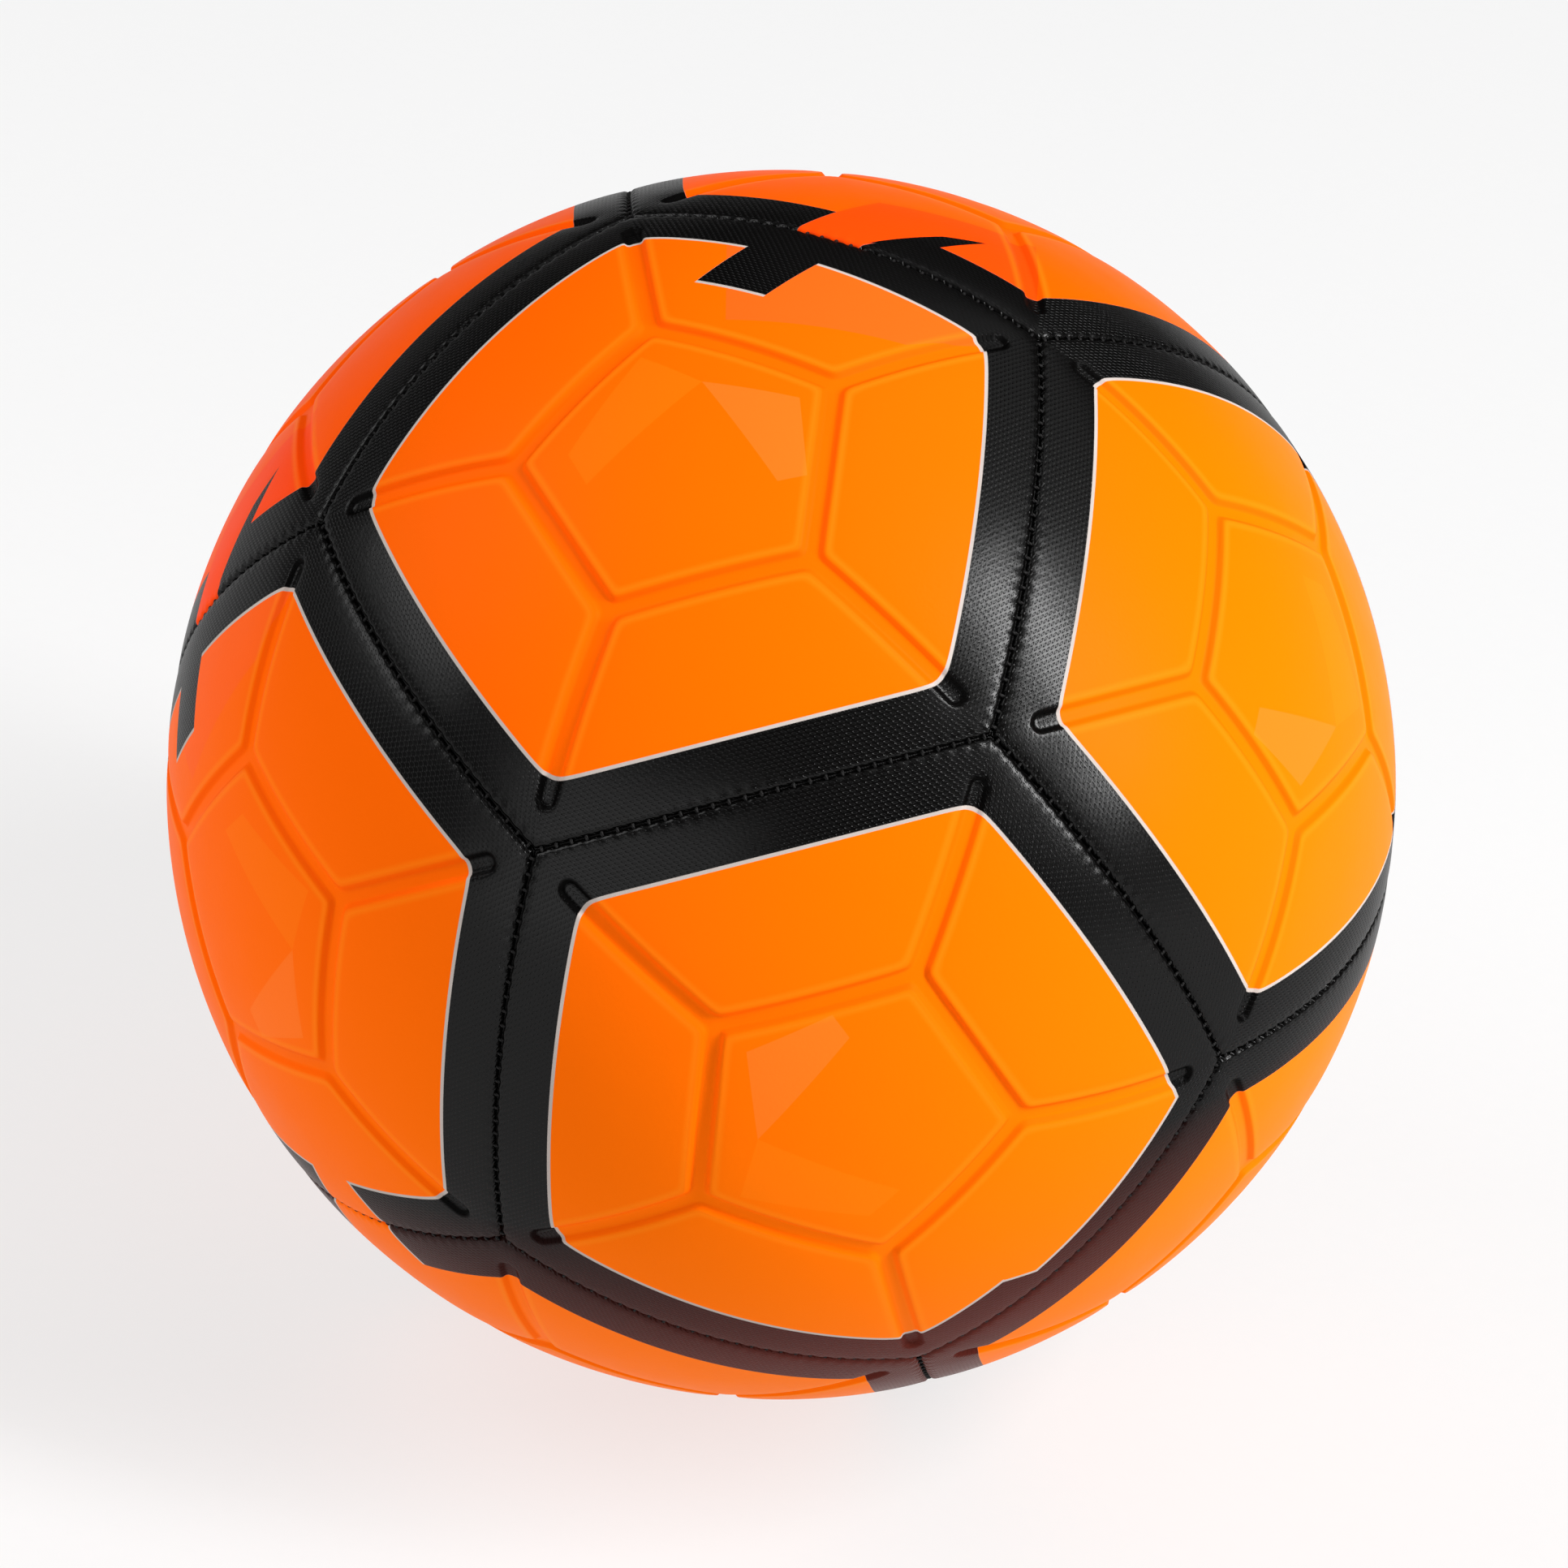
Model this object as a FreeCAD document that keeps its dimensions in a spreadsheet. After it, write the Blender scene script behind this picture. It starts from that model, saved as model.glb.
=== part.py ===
import FreeCAD, Part
import math
import os
import Sketcher
from FreeCAD import Placement, Rotation, Vector

# A size 5 soccer ball: twelve identical five-sided panels, sewn edge to edge round a butyl bladder.
# The origin is the ball's centre. X, Y and Z each pass through the middle of a seam.
# Every panel is drawn once, centred on +Z with the middle of one seam above +X, and then copied round.

# All sizes are millimetres, apart from the two angles, which are degrees.
DIMENSIONS = (
    ("ball_radius", 109.8),
    ("skin_thickness", 1.3),
    ("foam_thickness", 2.4),
    ("backing_thickness", 0.7),
    ("seam_gap", 0.3),
    ("thread_channel", 0.9),
    ("bevel_width", 1.4),
    ("bevel_depth", 1.2),
    ("groove_depth", 0.8),
    ("groove_floor_width", 1.9),
    ("groove_mouth_width", 4.1),
    ("groove_corner_polar", 15.5),
    ("groove_end_polar", 32.7),
    ("thread_radius", 0.3),
    ("stitch_radius", 0.27),
    ("rail_clearance", 0.06),
    ("needle_hole_radius", 0.4),
    ("needle_hole_overrun", 0.1),
    ("stitch_depth", 3.0),
    ("bladder_gap", 0.1),
    ("bladder_thickness", 0.7),
    ("patch_thickness", 0.8),
    ("patch_radius", 18.0),
    ("flange_thickness", 0.8),
    ("flange_radius", 13.0),
    ("stem_radius", 6.5),
    ("stem_clearance", 0.1),
    ("neck_radius", 4.0),
    ("neck_recess", 0.4),
    ("neck_length", 1.9),
    ("tail_radius", 4.8),
    ("tail_length", 11.0),
    ("plug_bore_radius", 3.0),
    ("plug_clearance", 0.02),
    ("plug_recess", 0.4),
    ("plug_seat", 1.0),
    ("needle_radius", 1.0),
    ("needle_depth", 9.0),
)

GOLDEN = (1 + math.sqrt(5)) / 2
PANEL_SIDES = 5
SEAM_POLAR = math.degrees(math.atan(1 / GOLDEN))  # panel centre to the middle of a seam
# Panel centre to a corner
CORNER_POLAR = math.degrees(math.acos(math.sqrt((5 + 2 * math.sqrt(5)) / 15)))
CORNER_AZIMUTH = 180 / PANEL_SIDES
DOME_MARGIN = 3  # each block starts as a round dome that reaches this far past the corners
DOME_POLAR = CORNER_POLAR + DOME_MARGIN
NEIGHBOUR_SPACING = 0.8  # corners closer than this, on a unit sphere, share a seam
STITCHES_PER_SEAM = 18
STITCH_ANGLE = 2.09  # between two needle holes, seen from the ball's centre
THREAD_END_ANGLE = 0.6  # the thread runs on this far past its last hole
BEVEL_ANGLE = 46  # a little more than a whole seam, seen from the ball's centre
CUT_START = 60  # trimming profiles start this far from the centre, below every layer
CUT_LENGTH = 90
CUT_WIDTH = 30
GROOVE_OVERSHOOT = 0.6  # groove profiles stand this far above the surface
SEAT_STEP = 0.03  # round ends are this much deeper than the grooves they close
HOLLOW_OVERRUN = 1  # the hollow under the skin is cut this far past the wall's end
LEAST_CUT = 1  # a cutting step that takes less than this, in mm3, has failed
NECK_OVERLAP = 1  # the valve's neck starts this far inside its stem
STEM_OVERLAP = 0.7  # and the stem this far inside its tail

doc = FreeCAD.newDocument("soccer_ball")
sheet = doc.addObject("Spreadsheet::Sheet", "Dimensions")
for row, (alias, size) in enumerate(DIMENSIONS, start=1):
    sheet.set(f"A{row}", alias)
    sheet.set(f"B{row}", str(size))
    sheet.setAlias(f"B{row}", alias)
doc.recompute()

# Radii of the layers, outside to inside, as formulas on the sheet
BALL = "Dimensions.ball_radius"
SKIN_BACK = BALL + " - Dimensions.skin_thickness"
FOAM_BACK = SKIN_BACK + " - Dimensions.foam_thickness"
LINING_BACK = FOAM_BACK + " - Dimensions.backing_thickness"
BLADDER_OUTSIDE = LINING_BACK + " - Dimensions.bladder_gap"
BLADDER_INSIDE = BLADDER_OUTSIDE + " - Dimensions.bladder_thickness"
PATCH_INSIDE = BLADDER_INSIDE + " - Dimensions.patch_thickness"
FLANGE_INSIDE = PATCH_INSIDE + " - Dimensions.flange_thickness"
STITCH_RADIUS = BALL + " - Dimensions.stitch_depth"
# Distances from the plane of a seam
HALF_GAP = "Dimensions.seam_gap / 2"
WALL_INSET = HALF_GAP + " + Dimensions.skin_thickness"
PAD_INSET = WALL_INSET + " + Dimensions.thread_channel"
RAIL_OFFSET = WALL_INSET + " + Dimensions.thread_radius + Dimensions.rail_clearance"
# Heights along the valve's axis
NECK_TOP = BALL + " - Dimensions.neck_recess"
PLUG_TOP = NECK_TOP + " - Dimensions.plug_recess"
TAIL_END = FLANGE_INSIDE + " - Dimensions.tail_length"


def value(formula):
    """The number that a formula on the sheet gives."""
    return float(sheet.evalExpression(formula))


def ray(polar, azimuth):
    """A unit vector, from its angle off +Z and its angle round from +X, in degrees."""
    tilt, turn = math.radians(polar), math.radians(azimuth)
    return Vector(math.sin(tilt) * math.cos(turn), math.sin(tilt) * math.sin(turn), math.cos(tilt))


def turned(across, up):
    """The rotation that takes X to across and Y to up."""
    return Rotation(across, up, across.cross(up), "ZXY")


def origin_feature(body, role):
    return next(f for f in body.Origin.OriginFeatures if f.Role == role)


def sketch_in(body, name, across, up):
    """A sketch through the ball's centre, whose own x and y axes are across and up."""
    sketch = body.newObject("Sketcher::SketchObject", name)
    sketch.AttachmentSupport = [(origin_feature(body, "XY_Plane"), "")]
    sketch.MapMode = "FlatFace"
    sketch.AttachmentOffset = Placement(Vector(), turned(across, up))
    return sketch


def closed_loop(sketch, points):
    """Straight sides from point to point and back to the first."""
    for start, end in zip(points, points[1:] + points[:1]):
        sketch.addGeometry(Part.LineSegment(Vector(*start, 0), Vector(*end, 0)), False)
    for side in range(len(points)):
        sketch.addConstraint(Sketcher.Constraint("Coincident", side, 2, (side + 1) % len(points), 1))


def dimension(sketch, name, formula, kind, *places):
    """A driving dimension of the sketch, bound to the sheet."""
    number = sketch.addConstraint(Sketcher.Constraint(kind, *places, value(formula)))
    sketch.renameConstraint(number, name)
    sketch.setExpression(f"Constraints.{name}", formula)


def dome_profile(body, inner, outer):
    """The section of a round dome between two radii, from the axis down to DOME_POLAR."""
    sketch = sketch_in(body, body.Name + "_dome_profile", ray(90, 0), ray(0, 0))
    low, high = math.radians(90 - DOME_POLAR), math.radians(90)
    reach = Vector(math.cos(low), math.sin(low), 0)
    small, large = value(inner), value(outer)
    centre, normal = Vector(), Vector(0, 0, 1)
    sketch.addGeometry(Part.LineSegment(Vector(0, small, 0), Vector(0, large, 0)), False)
    sketch.addGeometry(Part.ArcOfCircle(Part.Circle(centre, normal, large), low, high), False)
    sketch.addGeometry(Part.LineSegment(reach * large, reach * small), False)
    sketch.addGeometry(Part.ArcOfCircle(Part.Circle(centre, normal, small), low, high), False)
    for pair in ((0, 2, 1, 2), (1, 1, 2, 1), (2, 2, 3, 1), (3, 2, 0, 1), (1, 3, -1, 1), (3, 3, -1, 1)):
        sketch.addConstraint(Sketcher.Constraint("Coincident", *pair))
    sketch.addConstraint(Sketcher.Constraint("PointOnObject", 0, 1, -2))
    sketch.addConstraint(Sketcher.Constraint("PointOnObject", 0, 2, -2))
    sketch.addConstraint(Sketcher.Constraint("PointOnObject", -1, 1, 2))
    dimension(sketch, "outer_radius", outer, "Radius", 1)
    dimension(sketch, "inner_radius", inner, "Radius", 3)
    dimension(sketch, "reach", f"({outer}) * {reach.x}", "DistanceX", -1, 1, 1, 1)
    return sketch


def seam_trim_profile(body, inset):
    """A rectangle that lies wholly beyond one seam's plane, moved in by inset."""
    sketch = sketch_in(body, body.Name + "_seam_trim_profile", ray(SEAM_POLAR + 90, 0), ray(SEAM_POLAR, 0))
    inner_x = -value(inset)
    outer_x, top = inner_x + CUT_WIDTH, CUT_START + CUT_LENGTH
    closed_loop(sketch, [(inner_x, CUT_START), (outer_x, CUT_START), (outer_x, top), (inner_x, top)])
    for side, kind in enumerate(("Horizontal", "Vertical", "Horizontal", "Vertical")):
        sketch.addConstraint(Sketcher.Constraint(kind, side))
    dimension(sketch, "inset", inset, "DistanceX", 0, 1, -1, 1)
    dimension(sketch, "width", str(CUT_WIDTH), "DistanceX", 0, 1, 0, 2)
    dimension(sketch, "height", str(CUT_LENGTH), "DistanceY", 1, 1, 1, 2)
    dimension(sketch, "start", str(CUT_START), "DistanceY", -1, 1, 0, 1)
    return sketch


def patterned(body, name, features):
    """The features, repeated once for each side of the panel."""
    pattern = body.newObject("PartDesign::PolarPattern", name)
    pattern.Originals = features
    pattern.Axis = (origin_feature(body, "Z_Axis"), [""])
    pattern.Angle = 360
    pattern.Occurrences = PANEL_SIDES
    body.Tip = pattern
    doc.recompute()
    return pattern


def panel_block(name, inner, outer, inset):
    """A five-sided piece of a spherical layer, between two radii, with its edges inset from the seams."""
    body = doc.addObject("PartDesign::Body", name)
    dome = body.newObject("PartDesign::Revolution", name + "_dome")
    dome.Profile = dome_profile(body, inner, outer)
    dome.ReferenceAxis = (dome.Profile[0], ["V_Axis"])
    dome.Angle = 360
    doc.recompute()
    trim = body.newObject("PartDesign::Pocket", name + "_seam_trim")
    trim.Profile = seam_trim_profile(body, inset)
    trim.Type = "ThroughAll"
    trim.SideType = "Symmetric"
    patterned(body, name + "_seam_trims", [trim])
    return body


def rim_section(body):
    """The triangle of material that is bevelled off one edge of the skin, above the seam."""
    sketch = sketch_in(body, "rim_section", ray(SEAM_POLAR + 90, 0), ray(SEAM_POLAR, 0))
    wall, surface = -value(HALF_GAP), value(BALL)
    width, depth = value("Dimensions.bevel_width"), value("Dimensions.bevel_depth")
    closed_loop(sketch, [(wall, surface - depth), (wall, surface), (wall - width, surface)])
    sketch.addConstraint(Sketcher.Constraint("Vertical", 0))
    sketch.addConstraint(Sketcher.Constraint("Horizontal", 1))
    dimension(sketch, "wall", HALF_GAP, "DistanceX", 0, 1, -1, 1)
    dimension(sketch, "surface", BALL, "DistanceY", -1, 1, 0, 2)
    dimension(sketch, "depth", "Dimensions.bevel_depth", "DistanceY", 0, 1, 0, 2)
    dimension(sketch, "width", "Dimensions.bevel_width", "DistanceX", 1, 2, 1, 1)
    return sketch


def add_bevels(body):
    """The sloping edges that make the sunk line of each seam."""
    bevel = groove(body, "rim_bevel", rim_section(body), "H_Axis", str(BEVEL_ANGLE), midplane=True)
    patterned(body, "rim_bevels", [bevel])


# Formulas of the groove's trapezoid section
GROOVE_FLOOR = BALL + " - Dimensions.groove_depth"
GROOVE_SLOPE = "(Dimensions.groove_mouth_width - Dimensions.groove_floor_width) / Dimensions.groove_depth"
GROOVE_HEIGHT = f"Dimensions.groove_depth + {GROOVE_OVERSHOOT}"
GROOVE_TOP_WIDTH = f"Dimensions.groove_floor_width + {GROOVE_SLOPE} * ({GROOVE_HEIGHT})"


def groove_section(body, name, across, up):
    """The groove's whole section: a flat floor and two sloping walls."""
    sketch = sketch_in(body, name, across, up)
    floor, top = value("Dimensions.groove_floor_width") / 2, value(GROOVE_TOP_WIDTH) / 2
    low, high = value(GROOVE_FLOOR), value(BALL) + GROOVE_OVERSHOOT
    closed_loop(sketch, [(-floor, low), (floor, low), (top, high), (-top, high)])
    sketch.addConstraint(Sketcher.Constraint("Symmetric", 0, 1, 0, 2, -2))
    sketch.addConstraint(Sketcher.Constraint("Symmetric", 2, 1, 2, 2, -2))
    dimension(sketch, "floor_width", "Dimensions.groove_floor_width", "DistanceX", 0, 1, 0, 2)
    dimension(sketch, "top_width", GROOVE_TOP_WIDTH, "DistanceX", 2, 2, 2, 1)
    dimension(sketch, "floor", GROOVE_FLOOR, "DistanceY", -1, 1, 0, 1)
    dimension(sketch, "height", GROOVE_HEIGHT, "DistanceY", 0, 2, 2, 1)
    return sketch


def groove_end_section(body, name, across, up):
    """Half of the groove's section, which turns about its own middle to make a round end."""
    sketch = sketch_in(body, name, across, up)
    floor, top = value("Dimensions.groove_floor_width") / 2, value(GROOVE_TOP_WIDTH) / 2
    low, high = value(GROOVE_FLOOR) - SEAT_STEP, value(BALL) + GROOVE_OVERSHOOT
    closed_loop(sketch, [(0, low), (floor, low), (top, high), (0, high)])
    sketch.addConstraint(Sketcher.Constraint("Horizontal", 0))
    sketch.addConstraint(Sketcher.Constraint("Horizontal", 2))
    sketch.addConstraint(Sketcher.Constraint("PointOnObject", 0, 1, -2))
    sketch.addConstraint(Sketcher.Constraint("PointOnObject", 3, 1, -2))
    dimension(sketch, "floor_radius", "Dimensions.groove_floor_width / 2", "DistanceX", 0, 1, 0, 2)
    dimension(sketch, "top_radius", f"({GROOVE_TOP_WIDTH}) / 2", "DistanceX", 2, 2, 2, 1)
    dimension(sketch, "floor", f"{GROOVE_FLOOR} - {SEAT_STEP}", "DistanceY", -1, 1, 0, 1)
    dimension(sketch, "height", f"{GROOVE_HEIGHT} + {SEAT_STEP}", "DistanceY", 0, 2, 2, 1)
    return sketch


def groove(body, name, section, axis, angle, midplane=False):
    """A groove made by turning a section about one of its own axes."""
    feature = body.newObject("PartDesign::Groove", name)
    feature.Profile = section
    feature.ReferenceAxis = (section, [axis])
    feature.Midplane = midplane
    feature.setExpression("Angle", angle)
    return feature


def add_grooves(body):
    """The moulded lines: a small pentagon round the middle, and a spoke from each of its corners."""
    corner = value("Dimensions.groove_corner_polar")
    narrowing = math.cos(math.radians(CORNER_AZIMUTH))
    side_polar = math.degrees(math.atan(math.tan(math.radians(corner)) * narrowing))
    side_angle = 2 * math.degrees(ray(corner, CORNER_AZIMUTH).getAngle(ray(side_polar, 0)))
    level = ray(90, CORNER_AZIMUTH + 90)
    side = groove(
        body,
        "side_groove",
        groove_section(body, "side_groove_section", ray(side_polar + 90, 0), ray(side_polar, 0)),
        "H_Axis",
        str(side_angle),
        midplane=True,
    )
    spoke = groove(
        body,
        "spoke_groove",
        groove_section(body, "spoke_groove_section", level, ray(corner, CORNER_AZIMUTH)),
        "H_Axis",
        "Dimensions.groove_end_polar - Dimensions.groove_corner_polar",
    )
    ends = []
    for name, polar in (("corner_seat", corner), ("spoke_end", value("Dimensions.groove_end_polar"))):
        section = groove_end_section(body, name + "_section", level, ray(polar, CORNER_AZIMUTH))
        ends.append(groove(body, name, section, "V_Axis", "360"))
    patterned(body, "moulded_grooves", [side, spoke] + ends)


def stitch_angles():
    """Where each needle hole lies along a seam, as angles either side of the seam's middle."""
    return [(i - (STITCHES_PER_SEAM - 1) / 2) * STITCH_ANGLE for i in range(STITCHES_PER_SEAM)]


def add_needle_holes(body):
    """A row of needle holes through each turned-in wall of the panel."""
    sketch = sketch_in(body, "needle_hole_centres", ray(90, 90), ray(SEAM_POLAR, 0))
    radius, depth = value("Dimensions.needle_hole_radius"), value(STITCH_RADIUS)
    for hole, angle in enumerate(stitch_angles()):
        turn = math.radians(angle)
        centre = Vector(math.sin(turn), math.cos(turn), 0)
        sketch.addGeometry(Part.Circle(centre * depth, Vector(0, 0, 1), radius), False)
        dimension(sketch, f"radius_{hole}", "Dimensions.needle_hole_radius", "Radius", hole)
        dimension(sketch, f"along_{hole}", f"({STITCH_RADIUS}) * {centre.x}", "DistanceX", -1, 1, hole, 3)
        dimension(sketch, f"height_{hole}", f"({STITCH_RADIUS}) * {centre.y}", "DistanceY", -1, 1, hole, 3)
    holes = body.newObject("PartDesign::Pocket", "needle_holes")
    holes.Profile = sketch
    holes.SideType = "Symmetric"
    holes.setExpression("Length", f"2 * ({WALL_INSET}) + 2 * Dimensions.needle_hole_overrun")
    patterned(body, "needle_hole_rows", [holes])


def checked_cut(body, step, work):
    """Runs one cutting step and makes sure that it took material away."""
    before = body.Shape.Volume
    work(body)
    if body.Shape.Volume > before - LEAST_CUT:
        raise RuntimeError(f"{step} cut nothing")


def cover_pattern():
    """The moulded skin of one panel: a shallow tray with sloped edges and turned-in walls."""
    body = panel_block("cover_pattern", LINING_BACK, BALL, HALF_GAP)
    hollow = body.newObject("PartDesign::Boolean", "cover_hollow")
    hollow.Type = "Cut"
    hollow_floor = f"{LINING_BACK} - {HOLLOW_OVERRUN}"
    hollow.setObjects([panel_block("cover_hollow_block", hollow_floor, SKIN_BACK, WALL_INSET)])
    body.Tip = hollow
    doc.recompute()
    checked_cut(body, "the bevels", add_bevels)
    checked_cut(body, "the grooves", add_grooves)
    checked_cut(body, "the needle holes", add_needle_holes)
    return body


def copy_of(original, name, place):
    """A copy of a finished piece, at another place on the ball."""
    body = doc.addObject("PartDesign::Body", name)
    base = body.newObject("PartDesign::FeatureBase", name + "_base")
    base.BaseFeature = original
    body.Tip = base
    body.Placement = place
    return body


def bore_through(body, radius):
    """A round hole through the middle of a panel layer, for the valve."""
    doc.recompute()
    sketch = sketch_in(body, body.Name + "_hole_outline", ray(90, 0), ray(90, 90))
    sketch.addGeometry(Part.Circle(Vector(), Vector(0, 0, 1), value(radius)), False)
    sketch.addConstraint(Sketcher.Constraint("Coincident", 0, 3, -1, 1))
    dimension(sketch, "radius", radius, "Radius", 0)
    hole = body.newObject("PartDesign::Pocket", body.Name + "_hole")
    hole.Profile = sketch
    hole.Type = "ThroughAll"
    hole.Reversed = True
    body.Tip = hole


def primitive(kind, name, **sizes):
    """A Part primitive with its sizes bound to formulas on the sheet."""
    solid = doc.addObject(f"Part::{kind}", name)
    for size, formula in sizes.items():
        solid.setExpression(size, formula)
    return solid


def post(name, radius, bottom, top):
    """A cylinder along the valve's axis, between two heights."""
    solid = primitive("Cylinder", name, Radius=radius, Height=f"({top}) - ({bottom})")
    solid.setExpression("Placement.Base.z", bottom)
    return solid


def cut(name, base, tool):
    result = doc.addObject("Part::Cut", name)
    result.Base = base
    result.Tool = tool
    return result


def shell_disc(name, inner, outer, radius):
    """A round piece of a spherical shell, centred on the valve's axis."""
    shell = cut(name + "_shell", primitive("Sphere", name + "_outside", Radius=outer),
                primitive("Sphere", name + "_inside", Radius=inner))
    disc = doc.addObject("Part::Common", name)
    disc.Base = shell
    disc.Tool = post(name + "_outline", radius, "0", BALL)
    return disc


def seam_thread():
    """The thread of one seam, centred on +Z and running along Y: two rails joined at every hole."""
    end = max(stitch_angles()) + THREAD_END_ANGLE
    pieces = []
    for name, side in (("near_rail", "-1"), ("far_rail", "1")):
        rail = primitive("Torus", name, Radius1=STITCH_RADIUS, Radius2="Dimensions.thread_radius")
        rail.setExpression("Angle3", str(2 * end))
        rail.Placement = Placement(Vector(), turned(ray(end, 90), ray(90 + end, 90).negative()))
        rail.setExpression("Placement.Base.x", f"{side} * ({RAIL_OFFSET})")
        pieces.append(rail)
    for stitch, angle in enumerate(stitch_angles()):
        rung = primitive("Cylinder", f"stitch_{stitch}", Radius="Dimensions.stitch_radius",
                         Height=f"2 * ({RAIL_OFFSET})")
        sideways = Rotation(Vector(0, 0, 1), Vector(1, 0, 0))
        rung.Placement = Placement(ray(angle, 90) * value(STITCH_RADIUS), sideways)
        rung.setExpression("Placement.Base.x", f"-({RAIL_OFFSET})")
        pieces.append(rung)
    thread = doc.addObject("Part::MultiFuse", "seam_thread_pattern")
    thread.Shapes = pieces
    return thread


def dodecahedron():
    """The twenty corners where three panels meet, as directions from the centre."""
    signs = (-1, 1)
    corners = [Vector(x, y, z) for x in signs for y in signs for z in signs]
    for a in signs:
        for b in signs:
            corners.append(Vector(a / GOLDEN, 0, b * GOLDEN))
            corners.append(Vector(a * GOLDEN, b / GOLDEN, 0))
            corners.append(Vector(0, a * GOLDEN, b / GOLDEN))
    return [corner.normalize() for corner in corners]


def seams(corners):
    """The thirty seams, each as its middle and its direction along."""
    pairs = [
        (p, q)
        for i, p in enumerate(corners)
        for q in corners[i + 1:]
        if (p - q).Length < NEIGHBOUR_SPACING
    ]
    return [((p + q).normalize(), (q - p).normalize()) for p, q in pairs]


def panel_centres():
    """The twelve panels' middles, highest first, and round the ball from +X at each height."""
    centres = []
    for a in (-1, 1):
        for b in (-1, 1):
            centres.append(Vector(0, a, b * GOLDEN).normalize())
            centres.append(Vector(a, b * GOLDEN, 0).normalize())
            centres.append(Vector(a * GOLDEN, 0, b).normalize())
    return sorted(centres, key=lambda c: (-round(c.z, 3), math.atan2(c.y, c.x)))


def panel_place(centre, all_seams):
    """The placement that takes a panel from its drawn position to its place on the ball."""
    middles = [middle for middle, along in all_seams]
    seam_middle = max(middles, key=lambda m: (round(m.dot(centre), 6), m.z, m.x))
    across = (seam_middle - centre * seam_middle.dot(centre)).normalize()
    return Placement(Vector(), turned(across, centre.cross(across)))


SEAMS = seams(dodecahedron())
CENTRES = panel_centres()
VALVE_CENTRE = Vector(-1, GOLDEN, 0).normalize()
VALVE_PANEL = min(range(len(CENTRES)), key=lambda i: (CENTRES[i] - VALVE_CENTRE).Length)
VALVE_PLACE = panel_place(CENTRES[VALVE_PANEL], SEAMS)
nodes = []

# The three layers of each panel: the moulded skin, the foam behind it and the woven backing.
STEM_HOLE = "Dimensions.stem_radius + Dimensions.stem_clearance"
NECK_HOLE = "Dimensions.neck_radius + Dimensions.stem_clearance"
LAYERS = (
    ("cover_panel", cover_pattern(), NECK_HOLE),
    ("foam_layer", panel_block("foam_pattern", FOAM_BACK, SKIN_BACK, PAD_INSET), STEM_HOLE),
    ("fabric_backing", panel_block("backing_pattern", LINING_BACK, FOAM_BACK, PAD_INSET), STEM_HOLE),
)
for layer, original, valve_hole in LAYERS:
    for panel, centre in enumerate(CENTRES):
        piece = copy_of(original, f"{layer}_{panel + 1:02d}", panel_place(centre, SEAMS))
        if panel == VALVE_PANEL:
            bore_through(piece, valve_hole)
        nodes.append(piece)

# The waxed thread of the thirty seams, in five groups by height.
thread = seam_thread()
THREAD_GROUPS = (
    ("seam_thread_top", 0.7, 1.1),
    ("seam_thread_upper", 0.1, 0.7),
    ("seam_thread_middle", -0.1, 0.1),
    ("seam_thread_lower", -0.7, -0.1),
    ("seam_thread_bottom", -1.1, -0.7),
)
for group, low, high in THREAD_GROUPS:
    threads = [
        copy_of(thread, f"{group}_{i:02d}", Placement(Vector(), turned(along.cross(middle), along)))
        for i, (middle, along) in enumerate(SEAMS)
        if low < middle.z < high
    ]
    compound = doc.addObject("Part::Compound", group)
    compound.Links = threads
    nodes.append(compound)

# The bladder, a closed butyl sphere with one hole where the valve's stem comes through.
bladder = cut(
    "bladder",
    cut("bladder_wall", primitive("Sphere", "bladder_outside", Radius=BLADDER_OUTSIDE),
        primitive("Sphere", "bladder_inside", Radius=BLADDER_INSIDE)),
    post("bladder_hole", STEM_HOLE, "0", BALL),
)
# The rubber patch that is bonded inside the bladder, round the hole.
patch = cut(
    "valve_patch",
    shell_disc("patch_disc", PATCH_INSIDE, BLADDER_INSIDE, "Dimensions.patch_radius"),
    post("patch_hole", STEM_HOLE, "0", BALL),
)
# The valve's rubber housing: a flange under the patch, a stem, a neck that shows, and a tail inside.
STEM_TOP = f"{NECK_TOP} - Dimensions.neck_length"
NECK_START = f"{STEM_TOP} - {NECK_OVERLAP}"
STEM_START = f"{FLANGE_INSIDE} - {STEM_OVERLAP}"
housing_body = doc.addObject("Part::MultiFuse", "housing_body")
housing_body.Shapes = [
    shell_disc("housing_flange", FLANGE_INSIDE, PATCH_INSIDE, "Dimensions.flange_radius"),
    post("housing_stem", "Dimensions.stem_radius", STEM_START, STEM_TOP),
    post("housing_neck", "Dimensions.neck_radius", NECK_START, NECK_TOP),
    post("housing_tail", "Dimensions.tail_radius", TAIL_END, FLANGE_INSIDE),
]
housing = cut("valve_housing", housing_body, post("plug_bore", "Dimensions.plug_bore_radius", "0", BALL))
# The soft plug that seals the valve, with a blind channel for the pump's needle.
plug = cut(
    "valve_plug",
    post(
        "plug_body",
        "Dimensions.plug_bore_radius - Dimensions.plug_clearance",
        f"{TAIL_END} + Dimensions.plug_seat",
        PLUG_TOP,
    ),
    post("needle_channel", "Dimensions.needle_radius", f"{PLUG_TOP} - Dimensions.needle_depth", BALL),
)
for piece in (bladder, patch, housing, plug):
    piece.Placement = VALVE_PLACE
    nodes.append(piece)

doc.recompute()
for item in doc.Objects:
    if {"Invalid", "Error"} & set(item.State):
        raise RuntimeError(f"{item.Label} did not recompute: {item.State}")
for node in nodes:
    if node.Shape.isNull() or not node.Shape.isValid() or not node.Shape.Solids:
        raise RuntimeError(f"{node.Label} has no valid solid")

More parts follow.
